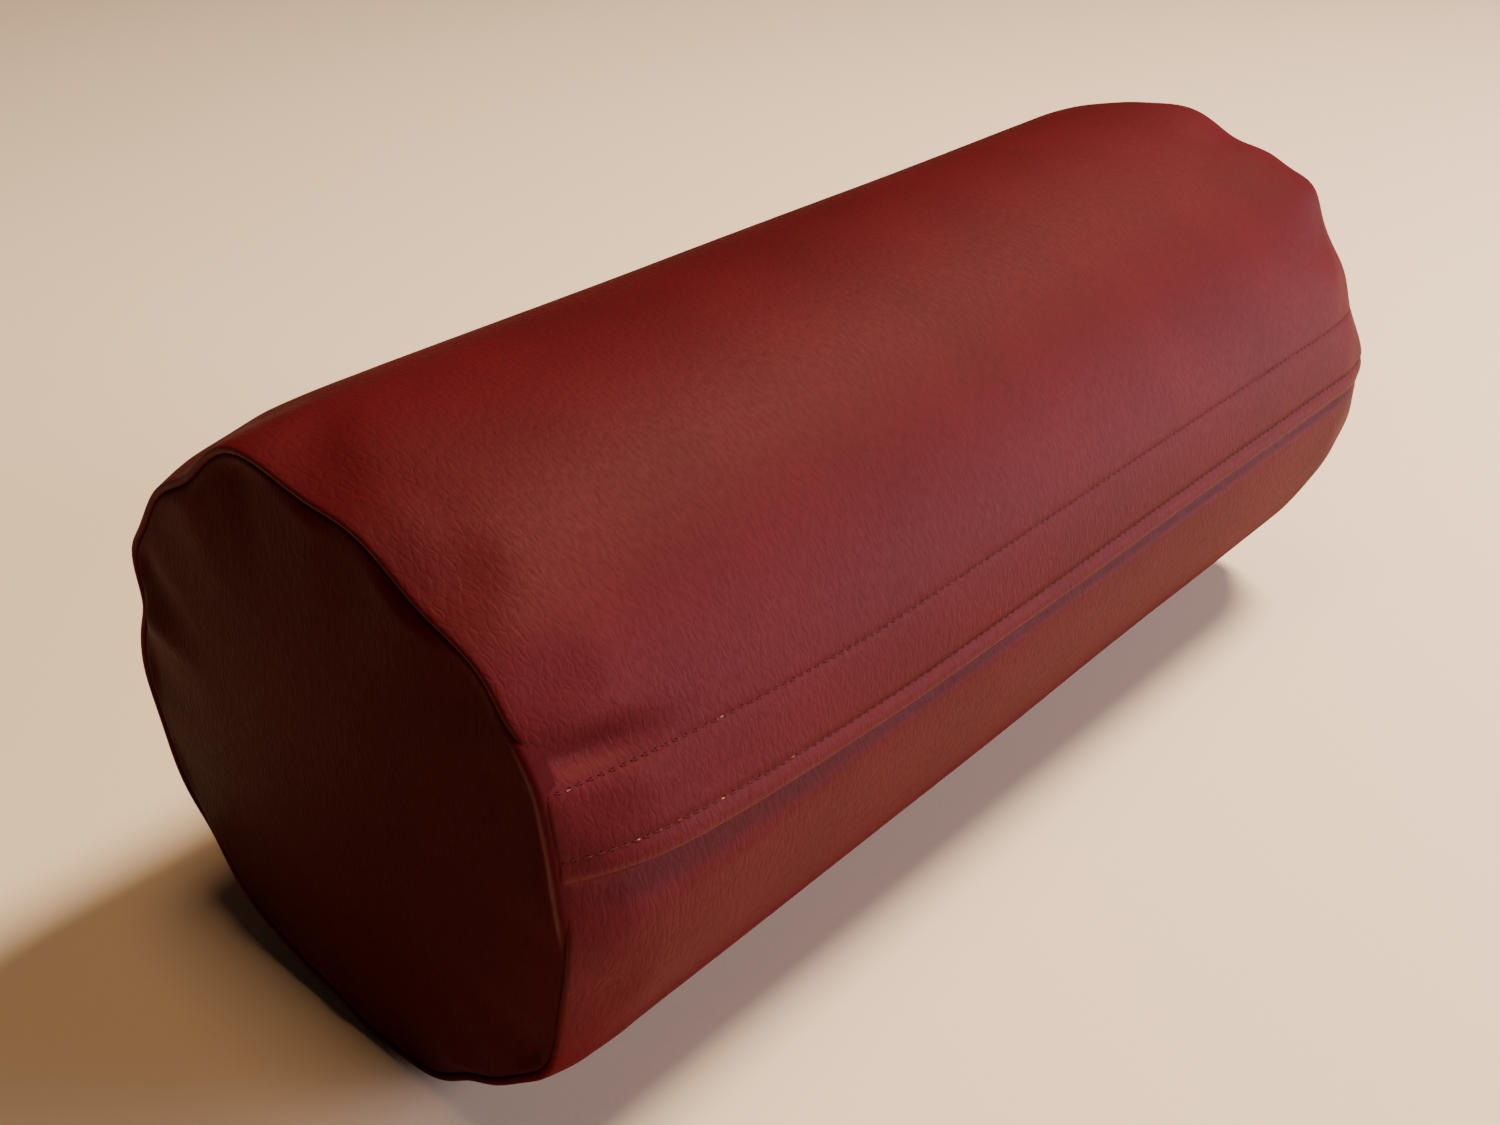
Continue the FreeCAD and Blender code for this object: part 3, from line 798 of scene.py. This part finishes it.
def needle_holes(n, place_along, place_across):
    """1 at each needle hole of the two topstitch rows, which lie whole pitches from the middle."""
    along = n.math("DIVIDE", place_along, PITCH)
    along = n.math("SUBTRACT", along, n.math("ROUND", along))
    along = n.math("MULTIPLY", n.math("SUBTRACT", 0.5, n.math("ABSOLUTE", along)), PITCH)
    upper = n.math("ABSOLUTE", n.math("SUBTRACT", place_across, UPPER_ROW))
    lower = n.math("ABSOLUTE", n.math("SUBTRACT", place_across, EDGE_ROW))
    across = n.math("MINIMUM", upper, lower)
    squares = n.math("ADD", n.math("MULTIPLY", along, along), n.math("MULTIPLY", across, across))
    return n.span(n.math("SQRT", squares), 0.25, 0.6, 1.0, 0.0)


def vinyl_shine(n, place_across, wear_and_highlight, gloss):
    """Specular level: dull underneath, where the pillow is rubbed, and polished where the wear_and_highlight
    value is high.
    """
    dulled, most_polish = 0.15, 0.35
    front = n.span(place_across, 45 - AROUND, 85 - AROUND, 1.0, dulled)
    rear = n.span(place_across, 230 - AROUND, 290 - AROUND, dulled, 1.0)
    sheen = n.math("MULTIPLY", n.math("MAXIMUM", front, rear), gloss)
    polish = n.math("MULTIPLY", n.math("MULTIPLY", wear_and_highlight, wear_and_highlight), most_polish)
    return n.math("ADD", sheen, polish)


def vinyl_material(name, tone=1.0, gloss=0.09):
    """Wine-red upholstery vinyl with a fine drawn grain that runs round the barrel."""
    n = Nodes(name)
    # tone below 1 darkens the base colours: painted shade, used for the end discs
    deep_one = (0.058 * tone, 0.0028 * tone, 0.0054 * tone, 1)
    deep_two = (0.074 * tone, 0.0038 * tone, 0.0072 * tone, 1)
    pattern = n.add("ShaderNodeAttribute", attribute_name="pattern").outputs["Vector"]
    split = n.add("ShaderNodeSeparateXYZ")
    n.join(pattern, split.inputs[0])
    along, across, wear_and_highlight = split.outputs
    flat = n.scaled(pattern, (1.0, 1.0, 0.0))
    streaks, height = drawn_grain(n, flat)
    hole = needle_holes(n, along, across)

    broad = n.noise(flat, 0.018, 3.0).outputs[0]
    deep = n.mix(n.span(broad, 0.3, 0.7), deep_one, deep_two)
    # Lighter colour for rubbed edges and painted highlights: partly rubbed and partly painted highlight on
    # the fold, painted highlight along the left end rim; tone does not darken it
    worn_and_highlit = n.mix(n.math("MULTIPLY", wear_and_highlight, 0.42), deep, (0.15, 0.010, 0.016, 1))
    shaded = n.mix(n.span(streaks, 0.35, 0.62, 0.22, 0.0), worn_and_highlit, (0.026, 0.0010, 0.0020, 1))
    # Painted shade: the base colour is darkened at each needle hole
    n.set(Base_Color=n.mix(n.math("MULTIPLY", hole, 0.35), shaded, (0.012, 0.001, 0.001, 1)))
    n.set(Roughness=n.span(streaks, 0.3, 0.7, 0.67, 0.58))
    n.set(Specular_IOR_Level=vinyl_shine(n, across, wear_and_highlight, gloss))
    grain = n.bump(height, 0.17, 0.8)
    n.set(Normal=n.bump(n.math("SUBTRACT", 1.0, hole), 0.35, 0.8, grain))
    return n.material


def thread_material():
    """Dark red bonded thread; here and there a stitch near the left end has a painted glint, a pale base
    colour.
    """
    n = Nodes("thread_red")
    where = n.add("ShaderNodeTexCoord").outputs["Object"]
    split = n.add("ShaderNodeSeparateXYZ")
    n.join(where, split.inputs[0])
    twist = n.add("ShaderNodeTexWave", wave_type="BANDS", bands_direction="DIAGONAL")
    n.join(where, twist.inputs["Vector"])
    twist.inputs["Scale"].default_value = 900.0
    chance = n.noise(where, 190.0, 1.0).outputs[0]
    chance = n.math("ADD", chance, n.span(split.outputs[0], -0.16, -0.20, 0.0, 0.05))
    # Painted highlight: pale base colour on some stitches near the left end
    pale = n.math("MULTIPLY", n.span(chance, 0.66, 0.71), n.span(split.outputs[0], -0.06, -0.15))
    base = n.mix(twist.outputs["Fac"], (0.040, 0.0026, 0.0034, 1), (0.080, 0.0056, 0.0072, 1))
    n.set(Base_Color=n.mix(pale, base, (0.32, 0.15, 0.10, 1)))
    n.set(Roughness=n.span(chance, 0.3, 0.7, 0.6, 0.75))
    n.shader.inputs["Specular IOR Level"].default_value = 0.15
    n.set(Normal=n.bump(twist.outputs["Fac"], 0.08))
    return n.material


def tape_material():
    """Woven zip tape."""
    n = Nodes("zip_tape_weave")
    where = n.add("ShaderNodeTexCoord").outputs["Object"]
    warp = n.add("ShaderNodeTexWave", wave_type="BANDS", bands_direction="X")
    weft = n.add("ShaderNodeTexWave", wave_type="BANDS", bands_direction="Z")
    for bands in (warp, weft):
        n.join(where, bands.inputs["Vector"])
        bands.inputs["Scale"].default_value = 420.0
        bands.inputs["Distortion"].default_value = 0.6
    weave = n.math("MULTIPLY", warp.outputs["Fac"], weft.outputs["Fac"])
    fuzz = n.noise(where, 900.0).outputs[0]
    n.set(Base_Color=n.mix(weave, (0.050, 0.006, 0.007, 1), (0.120, 0.014, 0.016, 1)))
    n.set(Roughness=n.span(fuzz, 0.3, 0.7, 0.8, 0.95), Normal=n.bump(weave, 0.12))
    return n.material


def coil_material():
    """Dyed nylon monofilament."""
    n = Nodes("zip_coil_nylon")
    where = n.add("ShaderNodeTexCoord").outputs["Object"]
    drawn = n.noise(where, 300.0, 2.0).outputs[0]
    n.set(Base_Color=n.mix(drawn, (0.08, 0.008, 0.009, 1), (0.13, 0.014, 0.016, 1)))
    n.set(Roughness=n.span(drawn, 0.3, 0.7, 0.28, 0.4), Normal=n.bump(drawn, 0.03))
    return n.material


def metal_material():
    """Tumbled zinc with a satin nickel finish."""
    n = Nodes("zip_metal_nickel")
    where = n.add("ShaderNodeTexCoord").outputs["Object"]
    scuff = n.noise(where, 500.0, 6.0, 0.7).outputs[0]
    tone = n.noise(where, 60.0).outputs[0]
    n.set(Base_Color=n.mix(tone, (0.42, 0.40, 0.37, 1), (0.60, 0.58, 0.54, 1)), Metallic=1.0)
    n.set(Roughness=n.span(scuff, 0.3, 0.7, 0.24, 0.42), Normal=n.bump(scuff, 0.006, 0.5))
    return n.material


def batting_material():
    """Bonded polyester wadding."""
    n = Nodes("batting_fibre")
    where = n.add("ShaderNodeTexCoord").outputs["Object"]
    tuft = n.noise(where, 160.0, 8.0, 0.75).outputs[0]
    clump = n.noise(where, 28.0, 4.0).outputs[0]
    n.set(Base_Color=n.mix(clump, (0.70, 0.69, 0.65, 1), (0.86, 0.86, 0.83, 1)))
    height = n.math("ADD", tuft, n.math("MULTIPLY", clump, 2.0))
    n.set(Roughness=n.span(tuft, 0.3, 0.7, 0.9, 1.0), Normal=n.bump(height, 0.8))
    n.shader.inputs["Sheen Weight"].default_value = 0.3
    return n.material


def foam_material():
    """Open-cell foam."""
    n = Nodes("foam_cells")
    where = n.add("ShaderNodeTexCoord").outputs["Object"]
    cells = n.add("ShaderNodeTexVoronoi")
    n.join(where, cells.inputs["Vector"])
    cells.inputs["Scale"].default_value = 700.0
    tone = n.noise(where, 20.0).outputs[0]
    n.set(Base_Color=n.mix(tone, (0.72, 0.64, 0.42, 1), (0.80, 0.74, 0.52, 1)))
    n.set(Roughness=n.span(tone, 0.3, 0.7, 0.85, 0.95), Normal=n.bump(cells.outputs["Distance"], 0.5))
    return n.material


def paper_material():
    """Cream paper for the floor."""
    n = Nodes("floor_paper")
    where = n.add("ShaderNodeTexCoord").outputs["Object"]
    tooth = n.noise(where, 400.0, 4.0).outputs[0]
    tone = n.noise(where, 3.0).outputs[0]
    n.set(Base_Color=n.mix(tone, (0.85, 0.700, 0.53, 1), (0.88, 0.730, 0.56, 1)))
    n.set(Roughness=n.span(tooth, 0.3, 0.7, 0.75, 0.85), Normal=n.bump(tooth, 0.1, 0.5))
    return n.material


def dress_nodes(material, *names):
    """Gives CAD nodes that stay in view their material."""
    for name in names:
        for slot in frame["nodes"][name].material_slots:
            slot.material = material


def build_floor(material):
    """A round pale floor just under the pillow."""
    rings = np.array([1.0, 300.0, 900.0, 2300.0])[:, None]
    turn = np.linspace(0, 2 * math.pi, 96, endpoint=False)[None, :]
    level = -0.4
    points = np.stack(np.broadcast_arrays(rings * np.cos(turn), rings * np.sin(turn), level), axis=-1)
    floor = new_mesh("floor", points, grid_faces(*points.shape[:2], closed=True), material)


def direction(azimuth, elevation):
    """Unit vector from the pillow towards a place; azimuth 0 faces the placket and grows to the right."""
    a, e = math.radians(azimuth), math.radians(elevation)
    return np.array([math.sin(a) * math.cos(e), -math.cos(a) * math.cos(e), math.sin(e)])


def aim(thing, towards):
    """Points a camera or a light along a direction."""
    thing.rotation_euler = Vector(towards).to_track_quat("-Z", "Y").to_euler()


def build_camera():
    """Close three-quarter view from above, on the placket side and towards the left end."""
    distance, shift_right, shift_up = 0.6037, -0.0314, -0.0229
    back = direction(-48.73, 30.32)
    right = np.cross(-back, (0, 0, 1))
    right /= np.linalg.norm(right)
    up = np.cross(right, -back)
    data = bpy.data.cameras.new("camera")
    data.sensor_width, data.lens = 36.0, 40.63
    camera = bpy.data.objects.new("camera", data)
    middle = np.array([0, 0, AXIS_Z * MM])
    camera.location = back * distance + right * shift_right + up * shift_up + middle
    aim(camera, -back)
    bpy.context.scene.collection.objects.link(camera)
    bpy.context.scene.camera = camera


def add_light(name, azimuth, elevation, distance, size, power, colour):
    """A round area light that faces the pillow's middle."""
    lit_point = np.array([0, 0, 0.1])
    data = bpy.data.lights.new(name, "AREA")
    data.shape, data.size, data.energy, data.color = "DISK", size, power, colour
    light = bpy.data.objects.new(name, data)
    away = direction(azimuth, elevation)
    light.location = away * distance + lit_point
    aim(light, -away)
    bpy.context.scene.collection.objects.link(light)


def build_lights():
    """A weak warm lamp overhead, a strong one high on the right and a low window, in a dim surround."""
    ambient, seen_by_camera = 0.02, 0.60
    add_light("lamp_overhead", -75, 84, 1.7, 0.55, 9.5, (1.0, 0.62, 0.34))
    add_light("lamp_right", 66, 60, 1.9, 0.50, 80.0, (1.0, 0.80, 0.57))
    add_light("window_right", 40, 9, 2.4, 1.50, 100.0, (1.0, 0.88, 0.99))
    world = bpy.data.worlds.new("surround")
    world.use_nodes = True
    background = world.node_tree.nodes["Background"]
    background.inputs[0].default_value = (1.0, 0.86, 0.72, 1)
    seen = world.node_tree.nodes.new("ShaderNodeLightPath")
    strength = world.node_tree.nodes.new("ShaderNodeMath")
    strength.operation = "MULTIPLY_ADD"
    strength.inputs[1].default_value = seen_by_camera
    strength.inputs[2].default_value = ambient
    world.node_tree.links.new(seen.outputs["Is Camera Ray"], strength.inputs[0])
    world.node_tree.links.new(strength.outputs[0], background.inputs[1])
    bpy.context.scene.world = world


# The simulated stand-off, which puckers_at reads.
puckers = simulate_puckers()
thread, metal = thread_material(), metal_material()
build_cover(vinyl_material("vinyl_wine"))
# The end discs get a darker, less glossy copy of the same vinyl: painted shade
shaded_end_vinyl = vinyl_material("vinyl_wine_end_painted_shade", tone=0.62, gloss=0.035)
build_end_panel(-1, "end_disc_left", shaded_end_vinyl)
build_end_panel(1, "end_disc_right", shaded_end_vinyl)
upper_row = build_stitches("topstitch_row", UPPER_ROW, thread)
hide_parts("topstitch_upper")
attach(upper_row, "cover")
edge_row = build_stitches("flap_edge_row", EDGE_ROW, thread)
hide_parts("flap_edge_stitches", "flap_edge_stitches_ends")
bend_with_flap(edge_row)
nylon = coil_material()
build_coil("coil_upper", "zip_coil_upper", -1, nylon)
build_coil("coil_lower", "zip_coil_lower", 1, nylon)
build_filling(batting_material(), foam_material())
dress_nodes(tape_material(), "zip_tape_upper", "zip_tape_lower")
dress_nodes(metal, "zip_top_stops", "zip_bottom_stop", "zip_slider", "zip_pull")
dress_nodes(thread, "underlap_thread", "end_seam_thread_left", "end_seam_thread_right")
build_floor(paper_material())
build_camera()
build_lights()
